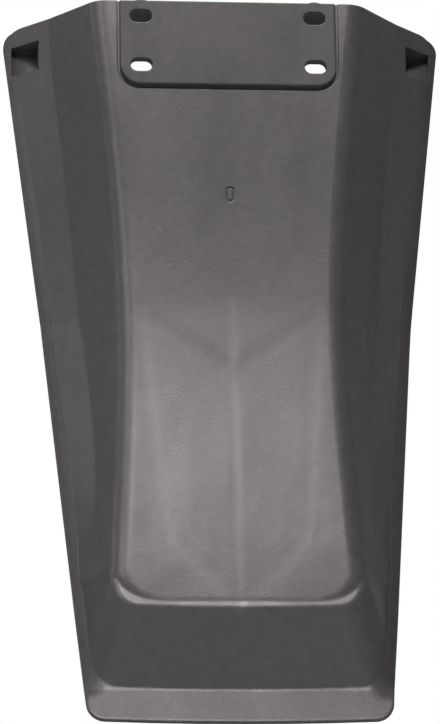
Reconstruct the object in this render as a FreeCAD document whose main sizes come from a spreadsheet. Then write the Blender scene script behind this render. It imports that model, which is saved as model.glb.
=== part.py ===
import FreeCAD, Part
import Sketcher
import math
import os

# Rear mudguard extender: one moulded hood with a slotted mounting pad.
# Frame: X to the right, -Y out of the visible face, +Z up.
# The origin is the centre of the four slots, on the face of the mounting pad.

Vector = FreeCAD.Vector

# Driving dimensions in millimetres and degrees.
# A "drop" is measured down from the origin, a "depth" back from the pad face
# and a "lead" forward of it. The hood is shaped by sections at named levels:
# top, upper, waist, knee, mid, end and low, and the panel's own foot, which is buried in the skirt.
SIZES = {
    "wall": 3.2,
    # levels of the front view
    "top_edge": 21.0,
    "knee_drop": 136.0,
    "end_drop": 288.0,
    "panel_drop": 296.0,
    "lip_drop": 324.5,
    "full_drop": 340.4,
    # raised middle: the panel and its two side walls
    "panel_width_top": 131.0,
    "panel_width_upper": 120.4,
    "panel_width_waist": 109.8,
    "panel_width_knee": 104.4,
    "panel_width_mid": 107.8,
    "panel_width_foot": 115.0,
    "panel_depth_top": 0.1,
    "panel_depth_upper": 3.0,
    "panel_depth_waist": 7.0,
    "panel_depth_knee": 8.8,
    "panel_depth_mid": 5.6,
    "panel_lead_foot": 1.0,
    "wall_angle": 47.0,
    "panel_round": 12.0,
    "panel_corner": 25.0,
    # skirt: the flanges beside the walls and the band below the panel
    "skirt_width_top": 171.4,
    "skirt_width_upper": 159.0,
    "skirt_width_waist": 147.2,
    "skirt_width_knee": 133.6,
    "skirt_width_mid": 126.6,
    "skirt_width_end": 117.0,
    "skirt_width_low": 107.0,
    "skirt_depth_top": 21.8,
    "skirt_depth_upper": 25.0,
    "skirt_depth_waist": 28.9,
    "skirt_depth_knee": 26.9,
    "skirt_depth_mid": 16.5,
    "skirt_lead_end": 1.0,
    "skirt_lead_low": 14.0,
    "flange_angle_top": 43.0,
    "flange_angle_upper": 37.7,
    "flange_angle_waist": 33.1,
    "flange_angle_knee": 35.2,
    "flange_angle_mid": 39.7,
    "flange_angle_end": 52.0,
    "flange_angle_low": 57.0,
    "skirt_corner": 22.0,
    "skirt_round": 4.0,
    "band_bow": 660.0,
    # rim and bottom lip
    "rim_depth": 41.0,
    "lip_depth": 11.0,
    "lip_rise": 6.0,
    "rim_bend": 250.0,
    # outline of the front view
    "outline_top": 221.4,
    "outline_knee": 182.6,
    "outline_end": 153.6,
    "outline_tip": 142.8,
    "outline_bow": 1600.0,
    "outline_top_corner": 9.0,
    "outline_tip_corner": 9.0,
    # top return wall behind the upper slots
    "return_depth": 30.0,
    # mounting pad, the fine moat around it, and slots
    "pad_width": 106.8,
    "pad_drop": 23.0,
    "pad_corner": 10.0,
    "pad_edge": 0.8,
    "moat_width": 1.4,
    "moat_depth": 1.0,
    "slot_pitch_across": 86.0,
    "slot_pitch_down": 26.0,
    "slot_length": 11.0,
    "slot_width": 7.0,
    "slot_boss": 17.2,
    # blind sockets in the top corners of the flanges
    "socket_inset": 92.3,
    "socket_width": 13.2,
    "socket_top": 11.7,
    "socket_drop": 3.0,
    "socket_depth": 5.0,
    "sill_rise": 13.0,
    "sill_depth": 1.0,
    "socket_wall": 2.0,
    # ribs on the back of the panel
    "rib_thick": 1.8,
    "rib_height": 8.0,
    "rib_top_drop": 137.0,
    "rib_top_across": 43.5,
    "rib_top_fall": 29.0,
    "rib_foot_drop": 255.0,
    "rib_foot_across": 32.5,
    "rib_foot_fall": 31.0,
    "rib_corner_across": 53.0,
    "rib_corner_rise": 16.0,
    # oval gate mark on the panel
    "gate_drop": 78.0,
    "gate_length": 7.8,
    "gate_width": 4.3,
    "gate_line": 1.0,
    "gate_depth": 0.6,
}


def make_sheet(doc):
    """Write the driving dimensions into a spreadsheet, one alias each."""
    sheet = doc.addObject("Spreadsheet::Sheet", "sizes")
    for row, (name, value) in enumerate(SIZES.items(), start=1):
        sheet.set("A%d" % row, name)
        sheet.set("B%d" % row, str(value))
        sheet.setAlias("B%d" % row, name)
    doc.recompute()
    return sheet


def origin_plane(body, role):
    """One of the three origin planes of a body."""
    return next(plane for plane in body.Origin.OriginFeatures if plane.Role == role)


def new_sketch(body, name, role, height=None):
    """A sketch on an origin plane, lifted along the plane's normal when a height is given."""
    sketch = body.newObject("Sketcher::SketchObject", name)
    sketch.AttachmentSupport = [(origin_plane(body, role), "")]
    sketch.MapMode = "FlatFace"
    if height:
        sketch.setExpression("AttachmentOffset.Base.z", height)
    return sketch


def size_constraint(sketch, kind, *where, size):
    """Add a distance, radius or angle constraint that follows an expression of the sheet."""
    index = sketch.addConstraint(Sketcher.Constraint(kind, *where, 1.0))
    sketch.setExpression("Constraints[%d]" % index, size)


def place_point(sketch, line, end, across, along):
    """Tie a point to the origin: an expression that starts with a minus lies on the negative side."""
    for kind, size in (("DistanceX", across), ("DistanceY", along)):
        if size.startswith("-"):
            size_constraint(sketch, kind, line, end, -1, 1, size=size[1:])
        else:
            size_constraint(sketch, kind, -1, 1, line, end, size=size)


def draw_polygon(sketch, corners, guesses, closing=None):
    """A closed polygon: corners are pairs of expressions, guesses their rough places.

    The side from the last corner to the first is straight unless a closing curve is given."""
    points = [Vector(x, y, 0) for x, y in guesses]
    sides = [Part.LineSegment(points[i - 1], points[i]) for i in range(1, len(points))]
    sides.append(closing or Part.LineSegment(points[-1], points[0]))
    lines = [sketch.addGeometry(side) for side in sides]
    for line, following in zip(lines, lines[1:] + lines[:1]):
        sketch.addConstraint(Sketcher.Constraint("Coincident", line, 2, following, 1))
    for line, (across, along) in zip(lines, corners):
        place_point(sketch, line, 1, across, along)
    return lines


def form_section(body, name, height, width, lead, angle):
    """A trapezoid across the hood: its front edge, and sides that spread towards the back."""
    sketch = new_sketch(body, name, "XY_Plane", height)
    front_left, front_right = Vector(-60, 0, 0), Vector(60, 0, 0)
    back_right, back_left = Vector(120, 80, 0), Vector(-120, 80, 0)
    sketch.addGeometry(Part.LineSegment(front_left, front_right))
    sketch.addGeometry(Part.LineSegment(front_right, back_right))
    sketch.addGeometry(Part.LineSegment(back_right, back_left))
    sketch.addGeometry(Part.LineSegment(back_left, front_left))
    for i in range(4):
        sketch.addConstraint(Sketcher.Constraint("Coincident", i, 2, (i + 1) % 4, 1))
    sketch.addConstraint(Sketcher.Constraint("Symmetric", 0, 1, 0, 2, -2))
    sketch.addConstraint(Sketcher.Constraint("Symmetric", 2, 1, 2, 2, -2))
    depth = "(sizes.rim_depth + sizes.wall + %s)" % lead
    size_constraint(sketch, "DistanceX", 0, 1, 0, 2, size=width)
    spread = "%s / tan(%s * 1 deg)" % (depth, angle)
    size_constraint(sketch, "DistanceX", 2, 2, 2, 1, size="%s + 2 * %s" % (width, spread))
    size_constraint(sketch, "DistanceY", -1, 1, 2, 1, size="sizes.rim_depth + sizes.wall")
    size_constraint(sketch, "DistanceY", 0, 1, 2, 2, size=depth)
    return sketch


def level_heights():
    """The height of each level that has a section, as an expression."""
    top = "(sizes.top_edge + 3 * sizes.wall)"
    return {
        "top": top,
        "upper": "(2 * %s - sizes.knee_drop) / 3" % top,
        "waist": "(%s - 2 * sizes.knee_drop) / 3" % top,
        "knee": "-sizes.knee_drop",
        "mid": "-(sizes.knee_drop + sizes.end_drop) / 2",
        "end": "-sizes.end_drop",
        "foot": "-sizes.panel_drop",
        "low": "-(sizes.full_drop + 5 * sizes.wall)",
    }


def loft(body, name, sections):
    """A smooth solid through a row of sections."""
    feature = body.newObject("PartDesign::AdditiveLoft", name)
    feature.Profile = sections[0]
    feature.Sections = sections[1:]
    body.Document.recompute()
    return feature


def pad_both_ways(body, name, sketch, length):
    """A pad that grows evenly to both sides of its sketch."""
    feature = body.newObject("PartDesign::Pad", name)
    feature.Profile = sketch
    feature.SideType = "Symmetric"
    feature.setExpression("Length", length)
    body.Document.recompute()
    return feature


def fillet(body, name, feature, chosen, radius):
    """Round the chosen edges of a feature."""
    names = ["Edge%d" % (i + 1) for i, edge in enumerate(feature.Shape.Edges) if chosen(edge)]
    if not names:
        raise RuntimeError(name + " found no edge")
    rounding = body.newObject("PartDesign::Fillet", name)
    rounding.Base = (feature, names)
    rounding.setExpression("Radius", radius)
    body.Document.recompute()
    return rounding


def foremost_face(shape):
    """The face whose middle lies furthest forward."""
    return min(shape.Faces, key=lambda face: face.CenterOfMass.y)


def border_below(shape, level):
    """A test for the edges around the foremost face that lie below a level."""
    border = foremost_face(shape).Edges
    return lambda edge: edge.CenterOfMass.z < level and any(edge.isSame(other) for other in border)


def make_panel(doc, sizes):
    """The raised middle: panel, side walls and their round shoulders."""
    body = doc.addObject("PartDesign::Body", "panel_form")
    leads = {
        "top": "(-sizes.panel_depth_top)",
        "upper": "(-sizes.panel_depth_upper)",
        "waist": "(-sizes.panel_depth_waist)",
        "knee": "(-sizes.panel_depth_knee)",
        "mid": "(-sizes.panel_depth_mid)",
        "foot": "sizes.panel_lead_foot",
    }
    heights = level_heights()
    sections = []
    for level, lead in leads.items():
        width = "sizes.panel_width_" + level
        section = form_section(body, "panel_" + level, heights[level], width, lead, "sizes.wall_angle")
        sections.append(section)
    block = loft(body, "panel_block", sections)
    foot_level = -sizes.panel_drop
    corners = fillet(
        body, "panel_corners", block,
        lambda edge: abs(edge.BoundBox.ZMax - foot_level) < 0.01 and abs(edge.CenterOfMass.x) > 1.0,
        "sizes.panel_corner")
    border = border_below(corners.Shape, sizes.top_edge)
    fillet(body, "panel_shoulders", corners, border, "sizes.panel_round")
    return body


def make_skirt(doc, sizes):
    """The skirt under the panel: side flanges, and the band that falls away below the panel."""
    body = doc.addObject("PartDesign::Body", "skirt_form")
    leads = {
        "top": "(-sizes.skirt_depth_top)",
        "upper": "(-sizes.skirt_depth_upper)",
        "waist": "(-sizes.skirt_depth_waist)",
        "knee": "(-sizes.skirt_depth_knee)",
        "mid": "(-sizes.skirt_depth_mid)",
        "end": "sizes.skirt_lead_end",
        "low": "sizes.skirt_lead_low",
    }
    heights = level_heights()
    sections = {}
    for level, lead in leads.items():
        width = "sizes.skirt_width_" + level
        angle = "sizes.flange_angle_" + level
        sections[level] = form_section(body, "skirt_" + level, heights[level], width, lead, angle)
    loft(body, "lower_skirt", [sections[level] for level in ("knee", "mid", "end", "low")])

    band = new_sketch(body, "band_profile", "YZ_Plane")
    fall = "(sizes.skirt_lead_end + sizes.lip_depth)"
    run = "(sizes.lip_drop - sizes.end_drop)"
    front = "-4 * sizes.lip_depth"
    high = "-(sizes.end_drop - %s)" % run
    low = "-(sizes.lip_drop + 1.5 * %s)" % run
    corners = [
        ("-(sizes.skirt_lead_end + %s)" % fall, high),
        ("sizes.lip_depth + 1.5 * %s" % fall, low),
        (front, low),
        (front, high),
    ]
    draw_polygon(band, corners, [(-16, -259), (36, -402), (-56, -402), (-56, -259)])
    axis = band.addGeometry(Part.LineSegment(Vector(-50, 360, 0), Vector(50, 360, 0)), True)
    band.addConstraint(Sketcher.Constraint("Symmetric", axis, 1, axis, 2, -2))
    size_constraint(band, "DistanceX", axis, 1, axis, 2, size="sizes.rim_depth")
    size_constraint(band, "DistanceY", -1, 1, axis, 1, size="sizes.band_bow - sizes.end_drop")
    groove = body.newObject("PartDesign::Groove", "band_cut")
    groove.Profile = band
    groove.ReferenceAxis = (band, ["Axis0"])
    groove.Midplane = True
    groove.Angle = 40.0
    doc.recompute()

    cone = next(face for face in groove.Shape.Faces if isinstance(face.Surface, Part.Cone))
    corners = fillet(
        body, "skirt_corners", groove,
        lambda edge: abs(edge.CenterOfMass.x) > 10.0 and any(edge.isSame(other) for other in cone.Edges),
        "sizes.skirt_corner")
    fillet(body, "skirt_edges", corners, border_below(corners.Shape, sizes.top_edge), "sizes.skirt_round")
    loft(body, "upper_skirt", [sections[level] for level in ("top", "upper", "waist", "knee")])
    return body


def make_rim(doc, sizes):
    """The rim that runs round the hood, and the lip that it becomes at the bottom."""
    body = doc.addObject("PartDesign::Body", "rim_form")
    profile = new_sketch(body, "rim_profile", "YZ_Plane")
    top = "sizes.top_edge + 6 * sizes.wall"
    low = "-(sizes.full_drop + 5 * sizes.wall)"
    lip_slope = "sizes.lip_rise / (sizes.full_drop - sizes.lip_drop)"
    lip_end = "sizes.lip_depth - (sizes.full_drop + 5 * sizes.wall - sizes.lip_drop) * %s" % lip_slope
    corners = [
        ("sizes.rim_depth", top),
        ("sizes.rim_depth", "-sizes.knee_drop"),
        ("sizes.lip_depth", "-sizes.lip_drop"),
        (lip_end, low),
        ("2 * sizes.rim_depth", low),
        ("2 * sizes.rim_depth", top),
    ]
    draw_polygon(profile, corners, [(41, 40), (41, -140), (14, -341), (3, -375), (82, -375), (82, 40)])
    block = pad_both_ways(body, "rim_block", profile, "1.2 * sizes.outline_top")
    fillet(
        body, "rim_knee", block,
        lambda edge: abs(edge.CenterOfMass.z + sizes.knee_drop) < 0.01 and abs(edge.CenterOfMass.x) < 0.01,
        "sizes.rim_bend")
    return body


def make_pad_block(body, name, margin):
    """A block over the mounting pad's outline, grown by a margin at the sides and the bottom."""
    sketch = new_sketch(body, name + "_outline", "XZ_Plane")
    half = "(sizes.pad_width / 2 + %s)" % margin
    drop = "(sizes.pad_drop + %s)" % margin
    top = "sizes.top_edge + 3 * sizes.wall"
    corners = [
        ("-" + half, "-" + drop),
        (half, "-" + drop),
        (half, top),
        ("-" + half, top),
    ]
    draw_polygon(sketch, corners, [(-54, -23), (54, -23), (54, 30), (-54, 30)])
    block = body.newObject("PartDesign::Pad", name + "_block")
    block.Profile = sketch
    block.Reversed = True
    block.setExpression("Length", "sizes.rim_depth / 2")
    body.Document.recompute()
    foot = block.Shape.BoundBox.ZMin
    return fillet(
        body, name + "_corners", block,
        lambda edge: abs(edge.CenterOfMass.z - foot) < 0.01 and abs(edge.CenterOfMass.x) > 1.0,
        "sizes.pad_corner + " + margin)


def make_mounting_pad(doc, sizes):
    """The raised pad around the slots: flush with the panel at the top, proud of it at the bottom."""
    body = doc.addObject("PartDesign::Body", "pad_form")
    block = make_pad_block(body, "pad", "0 * sizes.moat_width")
    fillet(body, "pad_edges", block, border_below(block.Shape, sizes.top_edge), "sizes.pad_edge")
    return body


def make_moat(doc):
    """The fine moat around the mounting pad, still with the pad's own outline in it."""
    body = doc.addObject("PartDesign::Body", "moat_form")
    make_pad_block(body, "moat", "sizes.moat_width")
    return body


def make_outline(doc, sizes):
    """The outline of the front view, as a block that the skin is trimmed to."""
    body = doc.addObject("PartDesign::Body", "outline_form")
    sketch = new_sketch(body, "outline", "XZ_Plane")
    levels = [
        ("outline_tip", "-sizes.full_drop"),
        ("outline_end", "-sizes.end_drop"),
        ("outline_knee", "-sizes.knee_drop"),
        ("outline_top", "sizes.top_edge"),
    ]
    right = [("sizes.%s / 2" % width, level) for width, level in levels]
    left = [("-sizes.%s / 2" % width, level) for width, level in reversed(levels)]
    rough = [(76, -354), (81, -300), (94, -140), (109, 20)]
    guesses = rough + [(-x, z) for x, z in reversed(rough)]
    bow_centre = Vector(0, sizes.outline_bow - sizes.full_drop, 0)
    bow_circle = Part.Circle(bow_centre, Vector(0, 0, 1), sizes.outline_bow)
    half_bow = math.asin(sizes.outline_tip / 2 / sizes.outline_bow)
    bottom = Part.ArcOfCircle(bow_circle, -math.pi / 2 - half_bow, -math.pi / 2 + half_bow)
    bottom_edge = draw_polygon(sketch, right + left, guesses, bottom)[-1]
    size_constraint(sketch, "Radius", bottom_edge, size="sizes.outline_bow")
    block = pad_both_ways(body, "outline_block", sketch, "6 * sizes.rim_depth")
    tops = fillet(
        body, "outline_top_corners", block,
        lambda edge: edge.BoundBox.YLength > 1.0 and abs(edge.CenterOfMass.z - sizes.top_edge) < 0.01,
        "sizes.outline_top_corner")
    fillet(
        body, "outline_tip_corners", tops,
        lambda edge: edge.BoundBox.YLength > 1.0 and abs(edge.CenterOfMass.z + sizes.full_drop) < 0.01,
        "sizes.outline_tip_corner")
    return body


def draw_slot(sketch, place, length, width, guess, upright=False):
    """A slot with round ends: place, length and width are expressions.

    The guess is the rough centre, half length and end radius."""
    centre, half_length, radius = guess
    run = Vector(0, 1, 0) if upright else Vector(1, 0, 0)
    rise = Vector(-run.y, run.x, 0)
    reach = run * (half_length - radius)
    quarter = math.pi / 2
    turn = quarter if upright else 0.0
    ends = []
    for side in (1, -1):
        circle = Part.Circle(centre + reach * side, Vector(0, 0, 1), radius)
        start = turn - side * quarter
        ends.append(sketch.addGeometry(Part.ArcOfCircle(circle, start, start + 2 * quarter)))
    lines = []
    for side in (1, -1):
        begin = centre + (reach + rise * radius) * side
        finish = centre + (rise * radius - reach) * side
        lines.append(sketch.addGeometry(Part.LineSegment(begin, finish)))
    chain = [ends[0], lines[0], ends[1], lines[1]]
    for piece, following in zip(chain, chain[1:] + chain[:1]):
        sketch.addConstraint(Sketcher.Constraint("Tangent", piece, 2, following, 1))
    sketch.addConstraint(Sketcher.Constraint("Equal", ends[0], ends[1]))
    sketch.addConstraint(Sketcher.Constraint("Vertical" if upright else "Horizontal", lines[0]))
    size_constraint(sketch, "Radius", ends[0], size="%s / 2" % width)
    size_constraint(sketch, "DistanceY" if upright else "DistanceX", ends[1], 3, ends[0], 3,
                    size="%s - %s" % (length, width))
    middle = sketch.addGeometry(Part.Point(centre), True)
    sketch.addConstraint(Sketcher.Constraint("Symmetric", ends[0], 3, ends[1], 3, middle, 1))
    place_point(sketch, middle, 1, *place)


def make_slots(doc):
    """The four slots of the mounting pad, as blocks that are cut out."""
    body = doc.addObject("PartDesign::Body", "slot_form")
    sketch = new_sketch(body, "slot_outline", "XZ_Plane")
    for across_sign, x in (("", 43), ("-", -43)):
        for along_sign, y in (("", 13), ("-", -13)):
            place = (across_sign + "sizes.slot_pitch_across / 2", along_sign + "sizes.slot_pitch_down / 2")
            draw_slot(sketch, place, "sizes.slot_length", "sizes.slot_width", (Vector(x, y, 0), 5.5, 3.5))
    pad_both_ways(body, "slot_block", sketch, "sizes.rim_depth")
    return body


def make_gate_ring(doc):
    """The oval ring of the gate mark, as a block that cuts the panel's surface."""
    body = doc.addObject("PartDesign::Body", "gate_form")
    sketch = new_sketch(body, "gate_outline", "XZ_Plane")
    place = ("0 * sizes.gate_width", "-sizes.gate_drop")
    centre = Vector(0, -79, 0)
    draw_slot(sketch, place, "sizes.gate_length", "sizes.gate_width", (centre, 4.1, 2.2), upright=True)
    draw_slot(sketch, place, "(sizes.gate_length - 2 * sizes.gate_line)",
              "(sizes.gate_width - 2 * sizes.gate_line)", (centre, 3.2, 1.3), upright=True)
    pad_both_ways(body, "gate_block", sketch, "sizes.rim_depth")
    return body


def moved_back(doc, name, solid, distance):
    """A copy of a solid, moved away from the viewer."""
    copy = doc.addObject("Part::Compound", name)
    copy.Links = [solid]
    copy.setExpression("Placement.Base.y", distance)
    doc.recompute()
    return copy


def combine(doc, kind, name, **parts):
    """A boolean of finished objects."""
    feature = doc.addObject("Part::" + kind, name)
    for key, value in parts.items():
        setattr(feature, key, value)
    doc.recompute()
    return feature


def make_slot_bosses(doc):
    """The round swellings of the top edge beside the upper slots."""
    body = doc.addObject("PartDesign::Body", "boss_form")
    sketch = new_sketch(body, "boss_outline", "XZ_Plane")
    for sign, side in (("", 1), ("-", -1)):
        circle = sketch.addGeometry(Part.Circle(Vector(side * 43, 13, 0), Vector(0, 0, 1), 7.7))
        size_constraint(sketch, "Radius", circle, size="sizes.slot_boss / 2")
        place_point(sketch, circle, 3, sign + "sizes.slot_pitch_across / 2", "sizes.slot_pitch_down / 2")
    pad_both_ways(body, "boss_block", sketch, "6 * sizes.rim_depth")
    return body


def make_socket(doc, name, margin):
    """The pair of sockets in the flanges as blocks, grown by a margin on every hidden side."""
    body = doc.addObject("PartDesign::Body", name + "_form")
    profile = new_sketch(body, name + "_profile", "YZ_Plane",
                         "sizes.socket_inset - " + margin)
    mouth = "sizes.rim_depth / 2"
    back = "sizes.rim_depth + sizes.socket_depth + " + margin
    ceiling = "sizes.socket_top + " + margin
    sill_low = "-(sizes.socket_drop + %s)" % margin
    sill_high = "sizes.sill_rise - sizes.socket_drop - " + margin
    corners = [
        (mouth, sill_low),
        ("sizes.rim_depth + sizes.sill_depth + " + margin, sill_low),
        (back, sill_high),
        (back, ceiling),
        (mouth, ceiling),
    ]
    draw_polygon(profile, corners, [(20, -3), (42, -3), (46, 10), (46, 12), (20, 12)])
    block = body.newObject("PartDesign::Pad", name + "_block")
    block.Profile = profile
    block.setExpression("Length", "sizes.socket_width + 2 * " + margin)
    doc.recompute()
    pair = body.newObject("PartDesign::Mirrored", name + "_pair")
    pair.Originals = [block]
    pair.MirrorPlane = (origin_plane(body, "YZ_Plane"), [""])
    body.Tip = pair
    doc.recompute()
    return body


def make_rib(body, name, start, finish, grow):
    """One upright plate behind the panel: its ends and its growth are pairs of across and drop."""
    sketch = new_sketch(body, name + "_line", "XZ_Plane")
    corners = [("%s" % across, "-(%s)" % drop) for across, drop in (start, finish)]
    for across, drop in (finish, start):
        corners.append(("%s + %s" % (across, grow[0]), "-(%s + %s)" % (drop, grow[1])))
    draw_polygon(sketch, corners, [(45, -143), (34, -266), (36, -266), (47, -143)])
    plate = body.newObject("PartDesign::Pad", name)
    plate.Profile = sketch
    plate.Reversed = True
    plate.setExpression("Length", "2 * sizes.rim_depth")
    body.Document.recompute()
    return plate


def make_rib_plates(doc):
    """The ribs behind the panel, as plates that are still to be cut to the panel's form."""
    body = doc.addObject("PartDesign::Body", "rib_form")
    thick = "sizes.rib_thick"
    none = "0 * sizes.rib_thick"
    head = ("sizes.rib_top_across", "sizes.rib_top_drop")
    foot = ("sizes.rib_foot_across", "sizes.rib_foot_drop")
    head_middle = (none, "sizes.rib_top_drop + sizes.rib_top_fall")
    foot_middle = (none, "sizes.rib_foot_drop + sizes.rib_foot_fall")
    corner = ("sizes.rib_corner_across", "sizes.rib_foot_drop - sizes.rib_corner_rise")
    plates = [
        make_rib(body, "middle_rib", (none, "sizes.rib_top_drop"), foot_middle, (thick + " / 2", none)),
        make_rib(body, "side_rib", head, foot, (thick, none)),
        make_rib(body, "head_rib", head, head_middle, (none, thick)),
        make_rib(body, "foot_rib", foot, foot_middle, (none, thick)),
        make_rib(body, "corner_rib", corner, foot, (none, thick)),
    ]
    both = body.newObject("PartDesign::Mirrored", "rib_pairs")
    both.Originals = plates
    both.MirrorPlane = (origin_plane(body, "YZ_Plane"), [""])
    body.Tip = both
    doc.recompute()
    return body


def make_return_slab(doc):
    """A level slab at the top edge, which becomes the top return wall."""
    slab = doc.addObject("Part::Box", "return_slab")
    slab.setExpression("Length", "sizes.outline_top")
    slab.setExpression("Width", "sizes.return_depth + sizes.wall")
    slab.setExpression("Height", "sizes.wall")
    slab.setExpression("Placement.Base.x", "-sizes.outline_top / 2")
    slab.setExpression("Placement.Base.y", "-sizes.wall")
    slab.setExpression("Placement.Base.z", "sizes.top_edge - sizes.wall")
    doc.recompute()
    return slab


def make_hood(doc, sizes):
    """The whole moulding: the skin of the joined forms, with all that stands on it and is cut from it."""
    forms = [make_panel(doc, sizes), make_skirt(doc, sizes), make_rim(doc, sizes)]
    hull = combine(doc, "MultiFuse", "hull", Shapes=forms)
    mounting_pad = make_mounting_pad(doc, sizes)
    outside = combine(doc, "MultiFuse", "outside", Shapes=[hull, mounting_pad])
    inside = moved_back(doc, "inside", hull, "sizes.wall")
    skin = combine(doc, "Cut", "skin", Base=outside, Tool=inside)
    edges = [make_outline(doc, sizes), make_slot_bosses(doc)]
    edge = combine(doc, "MultiFuse", "bossed_outline", Shapes=edges)
    trimmed = combine(doc, "MultiCommon", "trimmed_skin", Shapes=[skin, edge])

    top_return = combine(doc, "MultiCommon", "top_return", Shapes=[outside, make_return_slab(doc)])
    liner = make_socket(doc, "liner", "sizes.socket_wall")
    socket_walls = combine(doc, "MultiCommon", "socket_walls", Shapes=[hull, liner])
    rib_floor = moved_back(doc, "rib_floor", hull, "sizes.wall + sizes.rib_height")
    rib_layer = combine(doc, "Cut", "rib_layer", Base=inside, Tool=rib_floor)
    ribs = combine(doc, "MultiCommon", "ribs", Shapes=[rib_layer, make_rib_plates(doc)])
    closed = combine(doc, "MultiFuse", "closed_skin", Shapes=[trimmed, top_return, socket_walls, ribs])

    moat_floor = moved_back(doc, "moat_floor", hull, "sizes.moat_depth")
    moat_layer = combine(doc, "Cut", "moat_layer", Base=hull, Tool=moat_floor)
    moat_area = combine(doc, "Cut", "moat_area", Base=make_moat(doc), Tool=mounting_pad)
    moat = combine(doc, "MultiCommon", "moat", Shapes=[moat_layer, moat_area])
    lined = combine(doc, "Cut", "lined_skin", Base=closed, Tool=moat)
    gate_floor = moved_back(doc, "gate_floor", hull, "sizes.gate_depth")
    gate_layer = combine(doc, "Cut", "gate_layer", Base=hull, Tool=gate_floor)
    gate_mark = combine(doc, "MultiCommon", "gate_mark", Shapes=[gate_layer, make_gate_ring(doc)])
    marked = combine(doc, "Cut", "marked_skin", Base=lined, Tool=gate_mark)
    slotted = combine(doc, "Cut", "slotted_skin", Base=marked, Tool=make_slots(doc))
    sockets = make_socket(doc, "socket", "0 * sizes.socket_wall")
    hood = combine(doc, "Cut", "hood", Base=slotted, Tool=sockets)
    hood.Label = "mudguard_extender"
    return hood


def check_document(doc):
    """Stop if any object failed."""
    for item in doc.Objects:
        if "Invalid" in item.State or "Error" in item.State:
            raise RuntimeError("%s failed: %s" % (item.Name, item.State))


def main():
    doc = FreeCAD.newDocument("rear_mudguard_extender")
    sizes = make_sheet(doc)
    hood = make_hood(doc, sizes)
    doc.recompute()
    check_document(doc)
    shape = hood.Shape
    if shape.isNull() or not shape.isValid() or len(shape.Solids) != 1:
        raise RuntimeError("the hood is not one valid solid")
    os.makedirs("parts", exist_ok=True)
    shape.exportStep("parts/%s.step" % hood.Label)


main()
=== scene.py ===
import math

import bpy
from mathutils import Matrix, Vector


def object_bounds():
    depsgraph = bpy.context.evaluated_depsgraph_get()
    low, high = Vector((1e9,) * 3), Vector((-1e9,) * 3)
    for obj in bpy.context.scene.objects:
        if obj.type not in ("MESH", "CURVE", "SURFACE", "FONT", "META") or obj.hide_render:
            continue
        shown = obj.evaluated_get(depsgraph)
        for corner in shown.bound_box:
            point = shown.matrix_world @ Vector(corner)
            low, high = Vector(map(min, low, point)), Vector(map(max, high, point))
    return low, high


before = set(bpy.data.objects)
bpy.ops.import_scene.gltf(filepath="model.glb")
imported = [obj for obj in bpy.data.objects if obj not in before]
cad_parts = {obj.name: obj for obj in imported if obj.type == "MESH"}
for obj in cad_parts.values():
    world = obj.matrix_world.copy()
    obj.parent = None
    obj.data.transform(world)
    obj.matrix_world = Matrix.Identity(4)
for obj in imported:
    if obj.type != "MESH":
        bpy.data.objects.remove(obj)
cad_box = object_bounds()

# Lengths are in metres, angles in degrees and powers in watts.
# A name that ends in STEP gives the two levels between which a smooth step runs.

# Camera: the part is seen from a little below and a little to its left, with a long lens.
IMAGE_HEIGHT = 724
VIEW_AZIMUTH = -5.3
VIEW_ELEVATION = -18.3
VIEW_ROLL = -1.15
VIEW_DISTANCE = 1.8
VIEW_TARGET = (-0.00733, 0.0, -0.16663)
VIEW_REACH = 50.0
FOCAL_PIXELS = 3760.0
SENSOR_LONG_SIDE = 36.0

# Stage: the floor lies well below the part, because the camera looks up at it.
FLOOR_DROP = 0.75
FLOOR_SIZE = 12.0
FLOOR_WHITE = 0.8
FLOOR_COLOUR = (0.65, 0.65, 0.65, 1.0)
FLOOR_ROUGHNESS = 0.9

# Lamps: azimuth and elevation seen from the part, side length, distance and power.
LAMP_TARGET = (0.0, 0.02, -0.16)
LAMPS = {
    "key": (-2.0, 35.3, 1.0, 3.6, 110.0),
    "left_fill": (-35.0, 22.0, 1.0, 3.6, 28.0),
    "high": (2.0, 50.0, 1.0, 3.6, 14.0),
    "left_side": (-75.0, 22.0, 1.0, 3.6, 8.0),
    "back_fill": (165.0, 28.0, 1.0, 3.6, 40.0),
}

# World: its light, and where gloss sees the white of the world and of the floor.
WHITE = (1.0, 1.0, 1.0, 1.0)
ROOM_LIGHT = 0.09
WORLD_BACKDROP_STEP = (0.2, 0.6)
FLOOR_BACKDROP_STEP = (4.0, 6.0)

# Heights of the part's levels, and its outline's half width.
KNEE_Z = -0.136
LIP_Z = -0.3245
LIP_FADE = 0.008
OUTLINE_KNEE = 0.0913
OUTLINE_SLOPE_LOW = 0.0954
OUTLINE_SLOPE_HIGH = 0.1236

# The plastic's colours.
DARK_PLASTIC = (0.050, 0.047, 0.049, 1.0)
LIGHT_PLASTIC = (0.060, 0.056, 0.058, 1.0)
# Pale colour of the rubbed spots, also used for the painted sheen below the knee and the painted highlight of
# the marks.
RUBBED_AND_SHEEN_PLASTIC = (0.115, 0.108, 0.112, 1.0)
GLOSS_TINT = (1.0, 0.92, 0.95, 1.0)
GLOSS_LEVEL = 0.42

# The plastic's roughness.
DULL_ROUGHNESS = 0.37
SLEEK_ROUGHNESS = 0.30
HIDDEN_ROUGHNESS = 0.45
MARK_SLEEKNESS = 0.022

# Which way a surface faces: the visible side, the hidden side, and flat to the front.
FRONT_STEP = (-0.35, -0.75)
HIDDEN_STEP = (-0.30, -0.05)
FLAT_STEP = (0.45, 0.25)

# Edges: how far their shading is rounded, and where that changes.
EDGE_SAMPLES = 8
EDGE_RADIUS = 0.0007
SOFT_EDGE_RADIUS = 0.0025
SOFT_EDGE_STEP = (-0.085, -0.110)

# The pad's shading leans with the panel, and the rim's rolls outwards.
PAD_HALF_WIDTH = 0.0537
PAD_FOOT = -0.0233
PAD_CORNER = 0.0103
PAD_LEAN = 0.105
RIM_LEAN = 0.95
RIM_STEP = (-0.014, -0.001)

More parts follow.
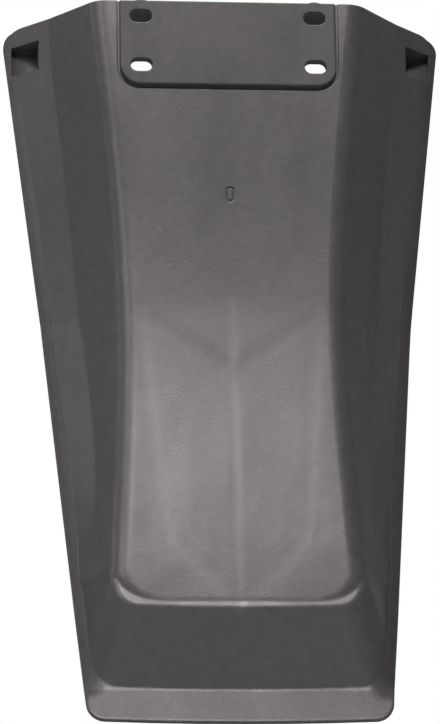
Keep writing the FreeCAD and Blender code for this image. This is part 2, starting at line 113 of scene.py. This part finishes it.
# Noise textures: cells per metre, detail and stretch.
EVEN = (1.0, 1.0, 1.0)
WAVES = (26.0, 2.0, (1.0, 1.0, 0.55))
GRAIN = (1500.0, 3.0, EVEN)
FLOW = (34.0, 4.0, (1.6, 1.0, 0.45))
TONE = (230.0, 5.0, EVEN)
SPECKS = (420.0, 3.0, EVEN)
PATCHES = (17.0, 2.0, EVEN)
MIDDLE_STEP = (0.30, 0.70)
SPECK_STEP = (0.66, 0.80)
PATCH_STEP = (0.45, 0.75)

# Depth of the relief; how much the rubbed spots, the marks' painted highlight and shade, and the painted sheen
# show in the colour.
WAVE_DEPTH = 0.0006
MARK_DEPTH = -0.00004
GRAIN_DEPTH = 0.00007
SPECK_SHARE = 0.7
# The marks' painted highlight and painted shade: how much paler or darker they are painted.
MARK_PAINTED_LIGHT_SHARE = 0.35
# Painted sheen: the middle of the panel's front is painted paler below the knee.
PAINTED_SHEEN_SHARE = 0.42
PAINTED_SHEEN_TOP_STEP = (KNEE_Z + 0.010, KNEE_Z - 0.012)
PAINTED_SHEEN_FOOT_STEP = (KNEE_Z - 0.110, KNEE_Z - 0.025)
PAINTED_SHEEN_SIDE_STEP = (0.053, 0.038)

# Each sink mark: its start and end as (x, z) on the right half, its half width and how much it shows.
SINK_MARKS = (
    ((0.0, -0.132), (0.0, -0.287), 0.0040, 1.0),
    ((0.0435, -0.137), (0.0325, -0.255), 0.0050, 0.7),
    ((0.0440, -0.137), (0.0, -0.166), 0.0070, -0.8),
    ((0.0325, -0.255), (0.0, -0.287), 0.0065, 0.7),
    ((0.0530, -0.240), (0.0330, -0.256), 0.0060, -0.7),
    ((0.0470, -0.266), (0.0430, -0.268), 0.0090, -0.6),
)

# Places of the Mix node's colour sockets, whose names are not unique.
MIX_SHARE, MIX_FIRST, MIX_SECOND, MIX_RESULT = 0, 6, 7, 2


def make_material(name):
    """A new node material and its shader."""
    material = bpy.data.materials.new(name)
    material.use_nodes = True
    return material, material.node_tree.nodes["Principled BSDF"]


def feed(tree, socket, value):
    """Link a socket to another, or set it to a plain value."""
    if isinstance(value, bpy.types.NodeSocket):
        tree.links.new(value, socket)
    else:
        socket.default_value = value


def calculate(tree, operation, *values):
    """The result of a Math node."""
    node = tree.nodes.new("ShaderNodeMath")
    node.operation = operation
    for socket, value in zip(node.inputs, values):
        feed(tree, socket, value)
    return node.outputs["Value"]


def product(tree, first, *others):
    """Several values multiplied."""
    for other in others:
        first = calculate(tree, "MULTIPLY", first, other)
    return first


def calculate_vector(tree, operation, *values, output="Vector"):
    """The result of a Vector Math node."""
    node = tree.nodes.new("ShaderNodeVectorMath")
    node.operation = operation
    for socket, value in zip(node.inputs, values):
        feed(tree, socket, value)
    return node.outputs[output]


def split(tree, vector):
    """The parts of a vector, as sockets named X, Y and Z."""
    node = tree.nodes.new("ShaderNodeSeparateXYZ")
    feed(tree, node.inputs["Vector"], vector)
    return node.outputs


def join(tree, **parts):
    """A vector from some of its parts X, Y and Z."""
    node = tree.nodes.new("ShaderNodeCombineXYZ")
    for name, value in parts.items():
        feed(tree, node.inputs[name], value)
    return node.outputs["Vector"]


def ramp(tree, value, step, low=0.0, high=1.0):
    """A smooth step of a value between two levels."""
    node = tree.nodes.new("ShaderNodeMapRange")
    node.interpolation_type = "SMOOTHSTEP"
    start, end = step
    settings = {"Value": value, "From Min": start, "From Max": end, "To Min": low, "To Max": high}
    for name, setting in settings.items():
        feed(tree, node.inputs[name], setting)
    return node.outputs["Result"]


def noise(tree, place, scale, detail, stretch):
    """The grey value of a noise texture."""
    node = tree.nodes.new("ShaderNodeTexNoise")
    node.inputs["Scale"].default_value = scale
    node.inputs["Detail"].default_value = detail
    feed(tree, node.inputs["Vector"], calculate_vector(tree, "MULTIPLY", place, stretch))
    return node.outputs["Fac"]


def mix_colour(tree, share, first, second):
    """A blend of two colours."""
    node = tree.nodes.new("ShaderNodeMix")
    node.data_type = "RGBA"
    feed(tree, node.inputs[MIX_SHARE], share)
    feed(tree, node.inputs[MIX_FIRST], first)
    feed(tree, node.inputs[MIX_SECOND], second)
    return node.outputs[MIX_RESULT]


def bump(tree, height, depth, normal):
    """A surface normal with a relief of the given depth."""
    node = tree.nodes.new("ShaderNodeBump")
    node.inputs["Strength"].default_value = 1.0
    node.inputs["Distance"].default_value = depth
    feed(tree, node.inputs["Height"], height)
    feed(tree, node.inputs["Normal"], normal)
    return node.outputs["Normal"]


def sink_marks(tree, half_place, shown):
    """The marks that the hidden ribs leave on the panel: brighter above zero, duller below; in the colour this
    is painted highlight and painted shade.
    """
    total = 0.0
    for (x0, z0), (x1, z1), width, level in SINK_MARKS:
        run = Vector((x1 - x0, 0.0, z1 - z0))
        offset = calculate_vector(tree, "SUBTRACT", half_place, (x0, 0.0, z0))
        along = calculate_vector(tree, "DOT_PRODUCT", offset, tuple(run / run.length_squared), output="Value")
        along = calculate(tree, "MINIMUM", calculate(tree, "MAXIMUM", along, 0.0), 1.0)
        scale = tree.nodes.new("ShaderNodeVectorMath")
        scale.operation = "SCALE"
        scale.inputs[0].default_value = tuple(run)
        feed(tree, scale.inputs["Scale"], along)
        distance = calculate_vector(tree, "DISTANCE", offset, scale.outputs["Vector"], output="Value")
        total = calculate(tree, "ADD", total, ramp(tree, distance, (0.0, width), level, 0.0))
    return product(tree, total, shown)


def pad_share(tree, side, z, front):
    """One on the pad's face, which has round lower corners, and nothing elsewhere."""
    across = calculate(tree, "SUBTRACT", side, PAD_HALF_WIDTH - PAD_CORNER)
    down = calculate(tree, "SUBTRACT", PAD_FOOT + PAD_CORNER, z)
    beyond = join(tree, X=calculate(tree, "MAXIMUM", across, 0.0), Z=calculate(tree, "MAXIMUM", down, 0.0))
    from_corner = calculate_vector(tree, "LENGTH", beyond, output="Value")
    return product(tree, calculate(tree, "LESS_THAN", from_corner, PAD_CORNER), front)


def rim_roll(tree, side, z, facing, front):
    """How far the rim's shading rolls outwards: most at its outer edge, and not on the lip."""
    above_knee = calculate(tree, "SUBTRACT", z, KNEE_Z)
    outline = calculate(tree, "MULTIPLY_ADD", above_knee, OUTLINE_SLOPE_LOW, OUTLINE_KNEE)
    outline = calculate(tree, "MULTIPLY_ADD", calculate(tree, "MAXIMUM", above_knee, 0.0),
                        OUTLINE_SLOPE_HIGH - OUTLINE_SLOPE_LOW, outline)
    roll = ramp(tree, calculate(tree, "SUBTRACT", side, outline), RIM_STEP, 0.0, RIM_LEAN)
    above_lip = ramp(tree, z, (LIP_Z - LIP_FADE, LIP_Z + LIP_FADE))
    flat = ramp(tree, calculate(tree, "ABSOLUTE", facing["X"]), FLAT_STEP)
    return product(tree, roll, above_lip, flat, front)


def black_plastic():
    """Moulded black plastic: fine satin grain, uneven sheen, sink marks with painted highlight and shade, pale
    rubbed spots and painted sheen.
    """
    material, shader = make_material("black_plastic")
    tree = material.node_tree
    place = tree.nodes.new("ShaderNodeTexCoord").outputs["Object"]
    x, z = split(tree, place)["X"], split(tree, place)["Z"]
    side = calculate(tree, "ABSOLUTE", x)

    # Edges are a little rounded, and more so below the gate mark.
    edges = tree.nodes.new("ShaderNodeBevel")
    edges.samples = EDGE_SAMPLES
    feed(tree, edges.inputs["Radius"], ramp(tree, z, SOFT_EDGE_STEP, EDGE_RADIUS, SOFT_EDGE_RADIUS))
    normal = edges.outputs["Normal"]
    facing = split(tree, normal)
    front = ramp(tree, facing["Y"], FRONT_STEP)

    # The pad leans and the rim rolls, in their shading only.
    outwards = product(tree, rim_roll(tree, side, z, facing, front), calculate(tree, "SIGN", x))
    downwards = product(tree, pad_share(tree, side, z, front), -PAD_LEAN)
    lean = join(tree, X=outwards, Z=downwards)
    normal = calculate_vector(tree, "NORMALIZE", calculate_vector(tree, "ADD", normal, lean))

    # Relief: slow waves of the moulding, the sink marks and the fine grain.
    marks = sink_marks(tree, join(tree, X=side, Z=z), front)
    normal = bump(tree, noise(tree, place, *WAVES), WAVE_DEPTH, normal)
    normal = bump(tree, calculate(tree, "ABSOLUTE", marks), MARK_DEPTH, normal)
    normal = bump(tree, noise(tree, place, *GRAIN), GRAIN_DEPTH, normal)
    feed(tree, shader.inputs["Normal"], normal)

    # Sheen: uneven patches, the marks, and a coarser hidden side.
    roughness = ramp(tree, noise(tree, place, *FLOW), MIDDLE_STEP, DULL_ROUGHNESS, SLEEK_ROUGHNESS)
    roughness = calculate(tree, "SUBTRACT", roughness, product(tree, marks, MARK_SLEEKNESS))
    hidden = ramp(tree, facing["Y"], HIDDEN_STEP, 0.0, HIDDEN_ROUGHNESS)
    feed(tree, shader.inputs["Roughness"], calculate(tree, "ADD", roughness, hidden))

    # Colour: slightly uneven, with pale rubbed spots, painted highlight and shade on the marks, and painted
    # sheen that makes the panel paler below the knee.
    colour = mix_colour(tree, ramp(tree, noise(tree, place, *TONE), MIDDLE_STEP), DARK_PLASTIC, LIGHT_PLASTIC)
    specks = ramp(tree, noise(tree, place, *SPECKS), SPECK_STEP)
    patches = ramp(tree, noise(tree, place, *PATCHES), PATCH_STEP)
    # Painted sheen: paler colour on the middle of the panel's front below the knee.
    painted_sheen = product(tree, ramp(tree, z, PAINTED_SHEEN_TOP_STEP), ramp(tree, z, PAINTED_SHEEN_FOOT_STEP),
                    ramp(tree, side, PAINTED_SHEEN_SIDE_STEP, 0.0, PAINTED_SHEEN_SHARE), front)
    # The marks are painted paler where brighter and darker where duller: painted highlight and painted shade.
    pale = calculate(tree, "ADD", product(tree, specks, patches, SPECK_SHARE), product(tree, marks, MARK_PAINTED_LIGHT_SHARE))
    pale = calculate(tree, "MAXIMUM", calculate(tree, "ADD", pale, painted_sheen), 0.0)
    feed(tree, shader.inputs["Base Color"], mix_colour(tree, pale, colour, RUBBED_AND_SHEEN_PLASTIC))
    shader.inputs["Specular IOR Level"].default_value = GLOSS_LEVEL
    shader.inputs["Specular Tint"].default_value = GLOSS_TINT
    return material


def direction_from(azimuth, elevation):
    """The direction from the part to a place at these angles; zero is straight in front."""
    across, up = math.radians(azimuth), math.radians(elevation)
    return Vector((math.sin(across) * math.cos(up), -math.cos(across) * math.cos(up), math.sin(up)))


def make_camera():
    """The camera of the photograph's view."""
    back = direction_from(VIEW_AZIMUTH, VIEW_ELEVATION)
    azimuth = math.radians(VIEW_AZIMUTH)
    right = Vector((math.cos(azimuth), math.sin(azimuth), 0.0))
    up = back.cross(right)
    level = Matrix((right, up, back)).transposed().to_4x4()
    place = Matrix.Translation(Vector(VIEW_TARGET) + back * VIEW_DISTANCE)
    data = bpy.data.cameras.new("camera")
    data.sensor_width = SENSOR_LONG_SIDE
    data.lens = FOCAL_PIXELS / IMAGE_HEIGHT * SENSOR_LONG_SIDE
    data.clip_end = VIEW_REACH
    camera = bpy.data.objects.new("camera", data)
    bpy.context.scene.collection.objects.link(camera)
    camera.matrix_world = place @ level @ Matrix.Rotation(math.radians(VIEW_ROLL), 4, "Z")
    bpy.context.scene.camera = camera


def make_lamp(name, azimuth, elevation, size, distance, power):
    """A square soft box that faces the part."""
    back = direction_from(azimuth, elevation)
    data = bpy.data.lights.new(name, "AREA")
    data.shape = "SQUARE"
    data.size = size
    data.energy = power
    lamp = bpy.data.objects.new(name, data)
    bpy.context.scene.collection.objects.link(lamp)
    lamp.location = Vector(LAMP_TARGET) + back * distance
    lamp.rotation_mode = "QUATERNION"
    lamp.rotation_quaternion = (-back).to_track_quat("-Z", "Y")


def white_share(tree, depth, step):
    """Where white is seen: by the camera everywhere, and by gloss and glass only behind the part."""
    path = tree.nodes.new("ShaderNodeLightPath").outputs
    mirrored = calculate(tree, "MAXIMUM", path["Is Glossy Ray"], path["Is Transmission Ray"])
    mirrored = product(tree, mirrored, ramp(tree, depth, step))
    return calculate(tree, "MAXIMUM", path["Is Camera Ray"], mirrored)


def make_world():
    """Dim light from all round, which is seen as white."""
    world = bpy.data.worlds.new("studio")
    bpy.context.scene.world = world
    world.use_nodes = True
    tree = world.node_tree
    background = tree.nodes["Background"]
    background.inputs["Color"].default_value = WHITE
    direction = split(tree, tree.nodes.new("ShaderNodeTexCoord").outputs["Generated"])
    seen = white_share(tree, direction["Y"], WORLD_BACKDROP_STEP)
    feed(tree, background.inputs["Strength"], calculate(tree, "MAXIMUM", seen, ROOM_LIGHT))


def make_floor():
    """A plain pale floor under the part, which keeps some of its own light and shadow."""
    low = cad_box[0]
    half = FLOOR_SIZE / 2
    level = low[2] - FLOOR_DROP
    mesh = bpy.data.meshes.new("floor")
    corners = [(-half, -half, level), (half, -half, level), (half, half, level), (-half, half, level)]
    mesh.from_pydata(corners, [], [(0, 1, 2, 3)])
    floor = bpy.data.objects.new("floor", mesh)
    bpy.context.scene.collection.objects.link(floor)
    material, shader = make_material("pale_floor")
    shader.inputs["Base Color"].default_value = FLOOR_COLOUR
    shader.inputs["Roughness"].default_value = FLOOR_ROUGHNESS
    tree = material.node_tree
    place = split(tree, tree.nodes.new("ShaderNodeTexCoord").outputs["Object"])
    white = tree.nodes.new("ShaderNodeEmission")
    mix = tree.nodes.new("ShaderNodeMixShader")
    share = product(tree, white_share(tree, place["Y"], FLOOR_BACKDROP_STEP), FLOOR_WHITE)
    feed(tree, mix.inputs["Fac"], share)
    feed(tree, mix.inputs[1], shader.outputs["BSDF"])
    feed(tree, mix.inputs[2], white.outputs["Emission"])
    feed(tree, tree.nodes["Material Output"].inputs["Surface"], mix.outputs["Shader"])
    floor.data.materials.append(material)


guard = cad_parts["mudguard_extender"]
guard.data.materials.clear()
guard.data.materials.append(black_plastic())
make_camera()
for lamp_name, lamp in LAMPS.items():
    make_lamp(lamp_name, *lamp)
make_world()
make_floor()
bpy.context.scene.view_settings.view_transform = "Standard"
